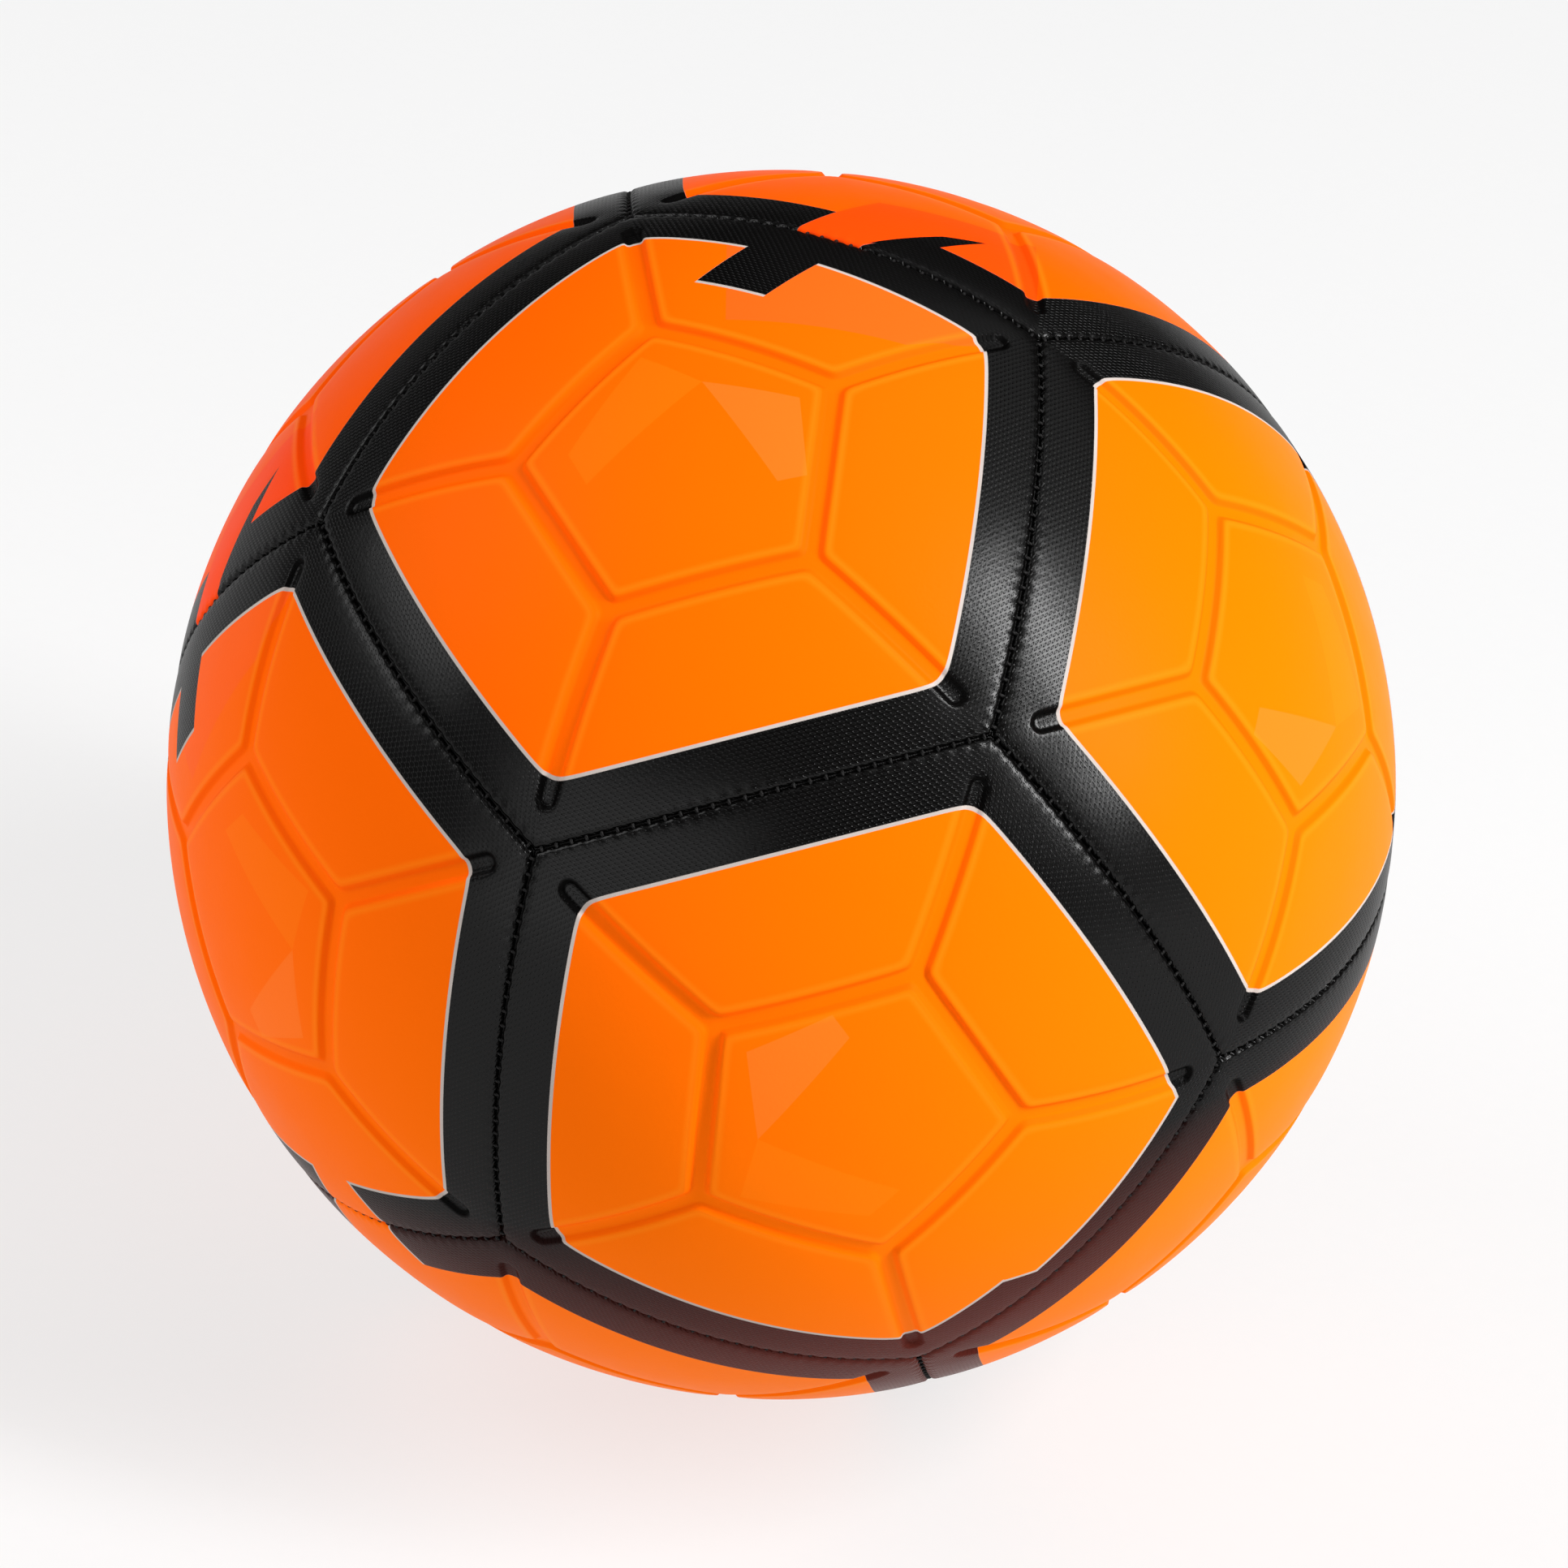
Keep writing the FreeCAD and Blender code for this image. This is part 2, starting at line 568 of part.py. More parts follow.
os.makedirs("parts", exist_ok=True)
for node in nodes:
    node.Shape.exportStep(f"parts/{node.Label}.step")
    print(f"{node.Label}: {len(node.Shape.Solids)} solids, {node.Shape.Volume:.1f} mm3")
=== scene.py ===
import math

import bpy
import numpy as np
from mathutils import Matrix, Vector


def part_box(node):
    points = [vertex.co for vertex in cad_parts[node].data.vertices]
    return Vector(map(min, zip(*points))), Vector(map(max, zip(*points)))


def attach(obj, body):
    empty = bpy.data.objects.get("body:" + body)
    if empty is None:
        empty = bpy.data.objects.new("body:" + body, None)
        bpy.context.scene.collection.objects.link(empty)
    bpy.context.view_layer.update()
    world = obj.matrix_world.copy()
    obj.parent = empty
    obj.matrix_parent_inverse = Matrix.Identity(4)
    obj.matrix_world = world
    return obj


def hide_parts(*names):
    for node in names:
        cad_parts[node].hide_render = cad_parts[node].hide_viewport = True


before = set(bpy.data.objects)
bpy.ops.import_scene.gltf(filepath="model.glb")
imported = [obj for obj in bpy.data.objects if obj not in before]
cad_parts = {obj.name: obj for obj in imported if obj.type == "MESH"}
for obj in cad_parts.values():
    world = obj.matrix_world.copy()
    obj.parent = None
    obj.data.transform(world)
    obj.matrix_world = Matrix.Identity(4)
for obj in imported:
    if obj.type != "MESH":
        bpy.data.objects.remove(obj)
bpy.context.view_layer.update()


# ---------------------------------------------------------------- bladder
# The airtight bag that holds the ball round, and the patch bonded inside it where the valve
# passes through. Butyl rubber, dipped and cured, so it is matt, dusty and faintly mottled.


def begin_material(name):
    material = bpy.data.materials.new(name)
    material.use_nodes = True
    return material, material.node_tree, material.node_tree.nodes["Principled BSDF"]


def add(tree, kind, sockets=(), **settings):
    node = tree.nodes.new(kind)
    for key, value in settings.items():
        setattr(node, key, value)
    for socket, value in dict(sockets).items():
        if isinstance(value, bpy.types.NodeSocket):
            tree.links.new(value, node.inputs[socket])
        else:
            node.inputs[socket].default_value = value
    return node


def place_on_object(tree):
    return add(tree, "ShaderNodeTexCoord").outputs["Object"]


def mottle(tree, where, scale, detail=3.0):
    return add(tree, "ShaderNodeTexNoise", {"Vector": where, "Scale": scale, "Detail": detail}).outputs["Fac"]


def shade_between(tree, factor, stops):
    ramp = add(tree, "ShaderNodeValToRGB", {"Fac": factor})
    while len(ramp.color_ramp.elements) < len(stops):
        ramp.color_ramp.elements.new(0.5)
    for element, (position, colour) in zip(ramp.color_ramp.elements, stops):
        element.position = position
        element.color = (*colour, 1.0)
    return ramp.outputs["Color"]


def number_between(tree, factor, low, high):
    return add(tree, "ShaderNodeMapRange", {"Value": factor, "To Min": low, "To Max": high}).outputs["Result"]


def relief(tree, surface, height, depth):
    bump = add(tree, "ShaderNodeBump", {"Height": height, "Distance": depth})
    tree.links.new(bump.outputs["Normal"], surface.inputs["Normal"])
    tree.links.new(bump.outputs["Normal"], surface.inputs["Coat Normal"])


dust_scale = 40.0
polish_scale = 90.0
polish_change = 0.08


def rubber(name, dark, light, roughness, grain_scale, grain_depth):
    material, tree, surface = begin_material(name)
    where = place_on_object(tree)
    colour = shade_between(tree, mottle(tree, where, dust_scale), [(0.3, dark), (0.7, light)])
    tree.links.new(colour, surface.inputs["Base Color"])
    polish = mottle(tree, where, polish_scale)
    rough = number_between(tree, polish, roughness - polish_change, roughness + polish_change)
    tree.links.new(rough, surface.inputs["Roughness"])
    relief(tree, surface, mottle(tree, where, grain_scale, 5.0), grain_depth)
    return material


def coat(node_names, material):
    for name in node_names:
        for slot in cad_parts[name].material_slots:
            slot.material = material


butyl = rubber("bladder_butyl", (0.004, 0.004, 0.005), (0.012, 0.012, 0.013), 0.72, 900.0, 0.00006)
coat(["bladder", "valve_patch"], butyl)


# ------------------------------------------------------------------ valve
# Moulded black rubber housing, pushed up through the bladder so that its neck fills the hole
# in one panel, and the softer plug glued into it, with the narrow channel that a pump needle
# pushes open. Both have the sheen of rubber straight from its mould.

housing_rubber = rubber("valve_rubber", (0.006, 0.006, 0.006), (0.014, 0.013, 0.013), 0.42, 1400.0, 0.00003)
plug_rubber = rubber("plug_rubber", (0.016, 0.016, 0.018), (0.03, 0.03, 0.033), 0.5, 1100.0, 0.00004)
coat(["valve_housing"], housing_rubber)
coat(["valve_plug"], plug_rubber)


# ----------------------------------------------------------------- lining
# Four laminated layers of polyester and cotton behind each panel keep it from stretching.
# Plain weave, undyed, a thread every 0.9 mm, stiff with the latex that bonds it.

weave_scale = 0.5 / 0.0014
weave_waver = 0.6
lining, tree, surface = begin_material("woven_lining")
where = place_on_object(tree)
weave = {"Vector": where, "Scale": weave_scale, "Distortion": weave_waver}
warp = add(tree, "ShaderNodeTexWave", weave, bands_direction="X").outputs["Fac"]
weft = add(tree, "ShaderNodeTexWave", weave, bands_direction="Z").outputs["Fac"]
threads = add(tree, "ShaderNodeMath", {0: warp, 1: weft}, operation="MULTIPLY").outputs[0]
linen = shade_between(tree, threads, [(0.0, (0.42, 0.38, 0.3)), (1.0, (0.72, 0.68, 0.58))])
tree.links.new(linen, surface.inputs["Base Color"])
surface.inputs["Roughness"].default_value = 0.9
surface.inputs["Sheen Weight"].default_value = 0.2
relief(tree, surface, threads, 0.00015)
coat([f"fabric_backing_{number:02d}" for number in range(1, 13)], lining)


# ------------------------------------------------------------------- foam
# A closed-cell foam layer glued behind each skin cushions the kick. Off-white, matt, and
# covered with the fine round cells left where the sheet was skived.

cell_scale = 1400.0
foam, tree, surface = begin_material("closed_cell_foam")
where = place_on_object(tree)
cells = add(tree, "ShaderNodeTexVoronoi", {"Vector": where, "Scale": cell_scale}).outputs["Distance"]
cream = shade_between(tree, cells, [(0.0, (0.66, 0.62, 0.52)), (0.6, (0.85, 0.82, 0.74))])
tree.links.new(cream, surface.inputs["Base Color"])
surface.inputs["Roughness"].default_value = 0.85
relief(tree, surface, cells, 0.0001)
coat([f"foam_layer_{number:02d}" for number in range(1, 13)], foam)


# ------------------------------------------------------------ cover panels
# Twelve equal five-sided skins of moulded polyurethane. Each is pressed hot, which gives it
# the five-sided groove in its middle with a spoke to each corner, and its edges are turned in
# for the needle, so a rounded shoulder stands each side of the seam. Lengths are in mm.

ball_radius = 109.8
skin_inside = 108.45
edge_middle = 107.0
edge_bottom = 105.45
half_gap = 0.12
shoulder = 0.95
edge_wall = 1.3
stitches_per_seam = 29
valve_hole = 4.1
valve_lip = 0.8
valve_land = 6.4
groove_depth = 0.8
groove_floor = 1.05
groove_mouth = 1.95
groove_corner = math.radians(15.5)
groove_end = math.radians(32.7)
rim_sag = 0.16
rim_reach = 3.2
seam_sag = 0.25
seam_sag_reach = 3.5
stitch_nip = 0.14
stitch_dent = 0.16
dent_reach = 1.4

golden = (1 + math.sqrt(5)) / 2
to_seam = math.atan(1 / golden)
half_side = math.radians(36)
seam_length = 2 * math.atan(math.sin(to_seam) * math.tan(half_side)) * ball_radius
stitch_pitch = seam_length / stitches_per_seam

# A panel's own axes: Z through its middle, X towards the seam that the sectors count from.
seam_middle = np.array([math.sin(to_seam), 0, math.cos(to_seam)])
seam_inward = np.array([-math.cos(to_seam), 0, math.sin(to_seam)])
seam_along = np.array([0, 1.0, 0])
turns = [
    np.array([[math.cos(a), -math.sin(a), 0], [math.sin(a), math.cos(a), 0], [0, 0, 1]])
    for a in (2 * half_side * side for side in range(5))
]


def soft_least(values, softness):
    lowest = values.min(axis=0)
    return lowest - softness * np.log(np.exp((lowest - values) / softness).sum(axis=0))


def seam_reaches(directions):
    tilts = [np.arcsin(np.clip(directions @ (turn @ seam_inward), -1, 1)) for turn in turns]
    return np.array(tilts) * ball_radius


def arc_reach(directions, start, end):
    normal = np.cross(start, end)
    length = math.asin(np.linalg.norm(normal))
    normal = normal / np.linalg.norm(normal)
    run = np.arctan2(directions @ np.cross(normal, start), directions @ start)
    beside = np.abs(np.arcsin(np.clip(directions @ normal, -1, 1)))
    beyond = np.arccos(np.clip(np.maximum(directions @ start, directions @ end), -1, 1))
    return np.where((run >= 0) & (run <= length), beside, beyond) * ball_radius


def on_spoke(polar, side):
    return turns[side] @ np.array(
        [math.sin(polar) * math.cos(half_side), math.sin(polar) * math.sin(half_side), math.cos(polar)]
    )


def groove_reach(directions):
    reaches = []
    for side in range(5):
        corner = on_spoke(groove_corner, side)
        reaches.append(arc_reach(directions, corner, on_spoke(groove_end, side)))
        reaches.append(arc_reach(directions, corner, on_spoke(groove_corner, (side + 1) % 5)))
    return soft_least(np.array(reaches), 0.3)


def smooth_step(low, high, value):
    share = np.clip((value - low) / (high - low), 0, 1)
    return share * share * (3 - 2 * share)


def outer_radius(directions, reach, run):
    seams = soft_least(seam_reaches(directions), 0.4)
    pull = (0.5 + 0.5 * np.cos(2 * math.pi * run / stitch_pitch)) ** 1.2
    edge = np.clip((seams - half_gap - stitch_nip * pull) / shoulder, 0, 1)
    drop = shoulder * (1 - np.sqrt(1 - (1 - edge) ** 2))
    groove = groove_reach(directions)
    drop = drop + groove_depth * (1 - smooth_step(groove_floor, groove_mouth, groove))
    drop = drop + rim_sag * np.exp(-((groove / rim_reach) ** 2))
    drop = drop + stitch_dent * pull * np.exp(-((reach / dent_reach) ** 2))
    return ball_radius - drop - seam_sag * np.exp(-np.maximum(seams, 0) / seam_sag_reach)


# Points stand closer together beside each spoke, and each ring of them follows the seams.
border_rounding = 1.1
near_spoke = np.array([0, 0.45, 0.9, 1.3, 1.7, 2.1, 2.6, 3.3]) / 0.85
across_middle = 46
full_spacing = 16.0


def sector_columns(half_width, split, skip):
    ease = min(1.0, half_width / full_spacing)
    left = -half_width + ease * near_spoke
    columns = np.concatenate([left, np.linspace(left[-1], -left[-1], across_middle + 1)[1:-1], -left[::-1]])
    whole = np.arange(len(columns))
    fine = np.linspace(0, len(columns) - 1, (len(columns) - 1) * split + 1)
    return np.interp(fine, whole, columns)[:-1][::skip]


def ring(reach, radius, split=1, skip=1):
    tilt = reach / ball_radius
    lean = math.hypot(math.cos(half_side), math.sin(to_seam) * math.sin(half_side))
    half_angle = seam_length / 2 / ball_radius - math.asin(
        math.tan(tilt) * math.cos(to_seam) * math.sin(half_side) / lean
    )
    squeeze = ball_radius * math.cos(tilt)
    angles = sector_columns(half_angle * squeeze, split, skip) / squeeze
    sector = (
        np.outer(np.cos(angles), seam_middle) + np.outer(np.sin(angles), seam_along)
    ) * math.cos(tilt) + seam_inward * math.sin(tilt)
    return finish_ring(np.concatenate([sector @ turn.T for turn in turns]), radius)


def finish_ring(directions, radius):
    columns = len(directions) // 5
    local = np.concatenate([part @ turn for part, turn in zip(np.split(directions, 5), turns)])
    reach = np.arcsin(np.clip(local @ seam_inward, -1, 1)) * ball_radius
    run = np.arctan2(local @ seam_along, local @ seam_middle) * ball_radius
    if radius is None:
        radius = outer_radius(directions, reach, run)
    first = np.arange(len(directions)) % columns == 0
    return {
        "points": directions * np.reshape(radius, (-1, 1)),
        "reach": reach,
        "run": run,
        "run_as_end": np.where(first, -run, run),
    }


def round_ring(like, distance, radius):
    flat = like["points"][:, :2] / np.linalg.norm(like["points"][:, :2], axis=1, keepdims=True)
    polar = distance / ball_radius
    directions = np.column_stack([flat * math.sin(polar), np.full(len(flat), math.cos(polar))])
    return finish_ring(directions, radius)


def middle_point(radius):
    return {
        "points": np.array([[0, 0, radius]]),
        "reach": np.array([to_seam * ball_radius]),
        "run": np.zeros(1),
        "run_as_end": np.zeros(1),
    }


def strip_between(first, second, first_at, second_at):
    """Faces from one ring out to the next, as lists of (vertex, run, reach)."""
    count_a, count_b = len(first["points"]), len(second["points"])

    def corner(which, at, index, ends):
        index_in = index % len(which["points"])
        run = which["run_as_end" if ends else "run"][index_in]
        return (at + index_in, run, which["reach"][index_in])

    def inner(index, ends=False):
        return corner(first, first_at, index, ends)

    def outer(index, ends=False):
        return corner(second, second_at, index, ends)

    if count_a == 1:
        return [[inner(0), outer(step), outer(step + 1, True)] for step in range(count_b)]
    if count_b == 1:
        return [[inner(step), outer(0), inner(step + 1, True)] for step in range(count_a)]
    faces = []
    for step in range(min(count_a, count_b)):
        if count_a == count_b:
            faces.append([inner(step), outer(step), outer(step + 1, True), inner(step + 1, True)])
        elif count_b == 3 * count_a:
            a = [inner(step), inner(step + 1, True)]
            b = [outer(3 * step + k, k == 3) for k in range(4)]
            faces += [[a[0], b[0], b[1]], [a[0], b[1], b[2], a[1]], [a[1], b[2], b[3]]]
        else:
            a = [inner(3 * step + k, k == 3) for k in range(4)]
            b = [outer(step), outer(step + 1, True)]
            faces += [[a[0], b[0], a[1]], [a[1], b[0], b[1], a[2]], [a[2], b[1], a[3]]]
    return faces


# Bands of rings by their first and last reach from the seam, how many, and every how many
# points: close together over the moulded grooves.
middle_band = 52.0
ring_bands = [(49.5, 42.0, 5, 3), (40.6, 32.6, 21, 1), (31.3, 10.5, 17, 1), (9.6, 4.0, 14, 1)]


def skin_rings(with_valve_hole):
    """From the middle of the panel out to its seams, down its edge, and back underneath."""
    spaced = ring(middle_band, None, skip=3)
    rings = []
    if with_valve_hole:
        for turn in np.linspace(0, math.pi / 2, 6):
            distance = valve_hole + valve_lip * (1 - math.cos(turn))
            rings.append(round_ring(spaced, distance, ball_radius - valve_lip * (1 - math.sin(turn))))
        rings.append(round_ring(spaced, valve_land, None))
    else:
        rings += [middle_point(ball_radius), round_ring(spaced, 2.4, None), round_ring(spaced, 4.8, None)]
    rings.append(spaced)
    for start, end, count, skip in ring_bands:
        rings += [ring(reach, None, skip=skip) for reach in np.linspace(start, end, count)]
    rings += [ring(reach, None, split=3) for reach in (3.2, 2.5, 1.9)]
    for turn in np.linspace(math.pi / 2, 0, 8):
        rings.append(ring(half_gap + shoulder * (1 - math.cos(turn)), None, split=3))
    rings.append(ring(half_gap, edge_middle))
    rings.append(ring(half_gap, edge_bottom))
    rings.append(ring(half_gap + edge_wall, edge_bottom))
    rings.append(ring(half_gap + edge_wall, skin_inside))
    rings += [ring(reach, skin_inside, skip=3) for reach in np.linspace(6.0, middle_band, 9)]
    if with_valve_hole:
        rings.append(round_ring(spaced, valve_hole, skin_inside))
    else:
        rings.append(middle_point(skin_inside))
    return rings


def skin_mesh(name, with_valve_hole):
    rings = skin_rings(with_valve_hole)
    starts = np.concatenate([[0], np.cumsum([len(each["points"]) for each in rings])])
    pairs = [(index, index + 1) for index in range(len(rings) - 1)]
    if with_valve_hole:
        pairs.append((len(rings) - 1, 0))
    faces = []
    for a, b in pairs:
        faces += strip_between(rings[a], rings[b], int(starts[a]), int(starts[b]))
    points = np.concatenate([each["points"] for each in rings])
    mesh = bpy.data.meshes.new(name)
    mesh.from_pydata((points / 1000).tolist(), [], [[corner[0] for corner in face] for face in faces])
    seam_map = mesh.uv_layers.new(name="seam_map")
    seam_map.data.foreach_set("uv", [value for face in faces for corner in face for value in corner[1:]])
    directions = points / np.linalg.norm(points, axis=1, keepdims=True)
    border = mesh.attributes.new("border_reach", "FLOAT", "POINT")
    border.data.foreach_set("value", soft_least(seam_reaches(directions), border_rounding))
    groove = mesh.attributes.new("groove_reach", "FLOAT", "POINT")
    groove.data.foreach_set("value", groove_reach(directions))
    return mesh, directions


# Printed polyurethane: black over the grooves' outer ends and the seams, a thin pale line, and
# orange inside. The black has a fine pressed grain of slanted dimples that holds the ball on
# the boot. The orange shifts to red round the ball, in faint flat-sided fields.

border_width = 9.9
pale_line = 0.62
tab_corners = [(-1.9, 8.0), (2.5, 22.5), (15.7, 22.5), (11.5, 8.0)]
tab_line_corners = [(-1.9, 8.0), (2.7, 22.5 + pale_line), (15.9, 22.5 + pale_line), (11.5, 8.0)]
break_corners = [(-8.0, -1.0), (-4.0, 12.0), (16.0, 15.5), (3.4, -1.0)]
wedge_corners = [(5.2, 1.9), (13.8, 14.6), (20.2, 20.0), (15.1, 9.3)]
flush_corners = [(-8.5, -1.0), (-1.0, 20.0), (26.0, 31.0), (40.0, -1.0)]
tab_flush_corners = [(-38.0, 6.0), (-24.0, 21.0), (6.0, 31.0), (18.0, 6.0)]
step_corners = [(-9.0, 5.4), (-13.5, 9.9), (-13.5, 14.0), (36.6, 14.0), (31.7, 6.4)]
gap_corners = [(-17.0, -13.0), (-6.0, 13.0), (5.8, 13.0), (11.5, -13.0)]
field_corners = [(15.2, 3.0), (18.6, -13.8), (4.7, -21.6), (1.5, -17.5)]
peak_corners = [(15.2, 3.0), (17.2, 15.9), (-5.3, 18.9), (-9.9, 13.0)]
panel_corners = [(-400.0, -2.0), (-400.0, 200.0), (400.0, 200.0), (400.0, -2.0)]
nowhere = 500.0

skin, tree, surface = begin_material("printed_skin")
where = place_on_object(tree)


def work_out(operation, *values):
    node = tree.nodes.new("ShaderNodeMath")
    node.operation = operation
    for socket, value in zip(node.inputs, values):
        if isinstance(value, bpy.types.NodeSocket):
            tree.links.new(value, socket)
        else:
            socket.default_value = value
    return node.outputs[0]


def along_direction(vector, direction):
    product = add(tree, "ShaderNodeVectorMath", {0: vector, 1: direction}, operation="DOT_PRODUCT")
    return product.outputs["Value"]


def turned_round(value):
    return work_out("MULTIPLY", value, -1.0)


def map_split(name):
    uv = add(tree, "ShaderNodeUVMap", uv_map=name)
    parts = add(tree, "ShaderNodeSeparateXYZ", {"Vector": uv.outputs["UV"]})
    return parts.outputs["X"], parts.outputs["Y"]


def inside_of(map_name, corners):
    """Distance in mm inside a straight-sided printed shape, negative outside it."""
    uv = add(tree, "ShaderNodeUVMap", uv_map=map_name).outputs["UV"]
    raised = add(tree, "ShaderNodeVectorMath", {0: uv, 1: (0, 0, 1)}, operation="ADD").outputs["Vector"]
    middle = np.mean(corners, axis=0)
    least = None
    for start, end in zip(corners, corners[1:] + corners[:1]):
        normal = np.array([end[1] - start[1], start[0] - end[0]]) / math.dist(start, end)
        if (middle - start) @ normal < 0:
            normal = -normal
        line = (float(normal[0]), float(normal[1]), float(-normal @ np.array(start)))
        side = along_direction(raised, line)
        least = side if least is None else work_out("MINIMUM", least, side)
    return least


run, reach = map_split("seam_map")
border = add(tree, "ShaderNodeAttribute", attribute_name="border_reach").outputs["Fac"]
border_in = work_out("SUBTRACT", border_width, border)
step_in = inside_of("step_map", step_corners)
tab_in = inside_of("tab_map", tab_corners)
break_in = inside_of("break_map", break_corners)
wedge_in = inside_of("break_map", wedge_corners)
black_in = work_out("MINIMUM", work_out("MAXIMUM", border_in, tab_in), turned_round(break_in))
cut_in = work_out("MAXIMUM", step_in, inside_of("gap_map", gap_corners))
black_in = work_out("MINIMUM", work_out("MAXIMUM", black_in, wedge_in), turned_round(cut_in))
lined = add(tree, "ShaderNodeAttribute", attribute_name="has_pale_line").outputs["Fac"]
line_in = work_out("ADD", border_in, work_out("MULTIPLY", lined, pale_line))
line_in = work_out("MAXIMUM", line_in, inside_of("tab_map", tab_line_corners))
line_in = work_out("MINIMUM", line_in, turned_round(break_in))
line_in = work_out("MINIMUM", line_in, work_out("SUBTRACT", pale_line, cut_in))


def stretched(value, low, high):
    """Nought at the low value and below, one at the high value and above."""
    range_of = {"Value": value, "From Min": low, "From Max": high}
    return add(tree, "ShaderNodeMapRange", range_of).outputs["Result"]


def crisp(distance):
    """One inside a printed edge, nought outside it, over a tenth of a millimetre of bleed."""
    return stretched(distance, -0.05, 0.05)


is_black = crisp(black_in)
is_line = crisp(line_in)

# Orange: yellower towards +X, +Y and below, and redder the other way. The two panels whose
# border is broken are redder still, and so are the flat-sided fields by the marks.
yellower_way = (2.7, 1.8, -2.7)
drift = work_out("ADD", along_direction(where, yellower_way), 0.5)
orange = shade_between(tree, drift, [(0.0, (1.0, 0.118, 0.0)), (1.0, (1.0, 0.215, 0.0))])


def laid_over(factor, below, above):
    node = add(tree, "ShaderNodeMix", data_type="RGBA")
    for index, value in ((0, factor), (6, below), (7, above)):
        if isinstance(value, bpy.types.NodeSocket):
            tree.links.new(value, node.inputs[index])
        else:
            node.inputs[index].default_value = value
    return node.outputs[2]


def tint_field(map_name, corners, strength, colour):
    field = work_out("MULTIPLY", crisp(inside_of(map_name, corners)), strength)
    return laid_over(field, orange, colour)


orange = tint_field("panel_map", field_corners, 0.3, (1.0, 0.23, 0.04, 1.0))
orange = tint_field("panel_map", peak_corners, 0.16, (1.0, 0.26, 0.01, 1.0))
orange = tint_field("break_map", panel_corners, 0.4, (1.0, 0.05, 0.0, 1.0))
orange = tint_field("tab_map", tab_flush_corners, 0.3, (1.0, 0.1, 0.03, 1.0))
flush_strength = work_out("SUBTRACT", 0.65, work_out("MULTIPLY", lined, 0.4))
orange = tint_field("break_map", flush_corners, flush_strength, (1.0, 0.045, 0.003, 1.0))

# Painted shade darkens the sides of the moulded grooves, and a painted highlight lightens their shoulders, in
# the orange only.
wall_middle = 1.5
rim_middle = 2.7
painted_relief_strength = 0.3
groove = add(tree, "ShaderNodeAttribute", attribute_name="groove_reach").outputs["Fac"]
off_wall = work_out("ABSOLUTE", work_out("SUBTRACT", groove, wall_middle))
wall_share = work_out("SUBTRACT", 1.5, work_out("MULTIPLY", off_wall, 2.1))
wall_share = work_out("MAXIMUM", work_out("MINIMUM", wall_share, 1.0), 0.0)
shoulder_share = work_out("MULTIPLY", work_out("ABSOLUTE", work_out("SUBTRACT", groove, rim_middle)), 1.1)
shoulder_share = work_out("SUBTRACT", 1.0, work_out("MINIMUM", shoulder_share, 1.0))
# painted shade: a redder, darker orange on the groove walls
orange = laid_over(work_out("MULTIPLY", wall_share, painted_relief_strength), orange, (1.0, 0.085, 0.0, 1.0))
# painted highlight: a yellower orange along the groove shoulders
orange = laid_over(work_out("MULTIPLY", shoulder_share, painted_relief_strength), orange, (1.0, 0.27, 0.01, 1.0))

# Black: a faint mottle, with a painted reflection of warm bounce light that turns it maroon on the ball's
# underside.
painted_bounce_way = (0.25, 0.0, -0.97)
tone = mottle(tree, where, 30.0)
black = shade_between(tree, tone, [(0.3, (0.0009, 0.0008, 0.0008)), (0.75, (0.002, 0.0018, 0.0017))])
under = stretched(along_direction(where, painted_bounce_way), 0.033, 0.07)
# painted reflection: maroon on the black of the underside, where orange bounce light would show
black = laid_over(under, black, (0.09, 0.016, 0.011, 1.0))
pale = shade_between(tree, tone, [(0.2, (0.42, 0.36, 0.33)), (0.8, (0.56, 0.5, 0.46))])

print_colour = laid_over(is_black, laid_over(is_line, orange, pale), black)
tree.links.new(print_colour, surface.inputs["Base Color"])

# Slanted dimples in staggered rows, read along and across each seam, in the black only, with
# a scatter of fine pores between them.
dimple_pitch = 1.15
row_spacing = dimple_pitch * 0.62
dimple_lean = 0.35
dimple_flatness = 0.85
dimple_floor = 0.16
dimple_mouth = 0.34
row = work_out("DIVIDE", reach, row_spacing)
slant = work_out("ADD", work_out("DIVIDE", run, dimple_pitch), work_out("MULTIPLY", row, 0.5))
in_row = work_out("SUBTRACT", work_out("FRACT", row), 0.5)
in_column = work_out("SUBTRACT", work_out("FRACT", slant), 0.5)
in_column = work_out("ADD", in_column, work_out("MULTIPLY", in_row, dimple_lean))
row_share = work_out("POWER", work_out("MULTIPLY", in_row, dimple_flatness), 2.0)
away = work_out("SQRT", work_out("ADD", row_share, work_out("POWER", in_column, 2.0)))
dimple = add(
    tree,
    "ShaderNodeMapRange",
    {"Value": away, "From Min": dimple_floor, "From Max": dimple_mouth},
    interpolation_type="SMOOTHSTEP",
).outputs["Result"]
dimple = work_out("MULTIPLY", work_out("SUBTRACT", dimple, 1.0), is_black)
grain = mottle(tree, where, 1500.0, 2.0)
swell = mottle(tree, where, 60.0, 2.0)
height = work_out("ADD", work_out("MULTIPLY", dimple, 0.5), work_out("MULTIPLY", grain, 0.2))
height = work_out("ADD", height, work_out("MULTIPLY", swell, 0.9))
pores = add(tree, "ShaderNodeTexVoronoi", {"Vector": where, "Scale": 230.0})
chosen = add(tree, "ShaderNodeSeparateColor", {"Color": pores.outputs["Color"]}).outputs["Red"]
small = work_out("LESS_THAN", pores.outputs["Distance"], 0.045)
pore = work_out("MULTIPLY", small, work_out("GREATER_THAN", chosen, 0.55))
height = work_out("SUBTRACT", height, work_out("MULTIPLY", work_out("MULTIPLY", pore, is_black), 0.8))
relief(tree, surface, height, 0.00014)

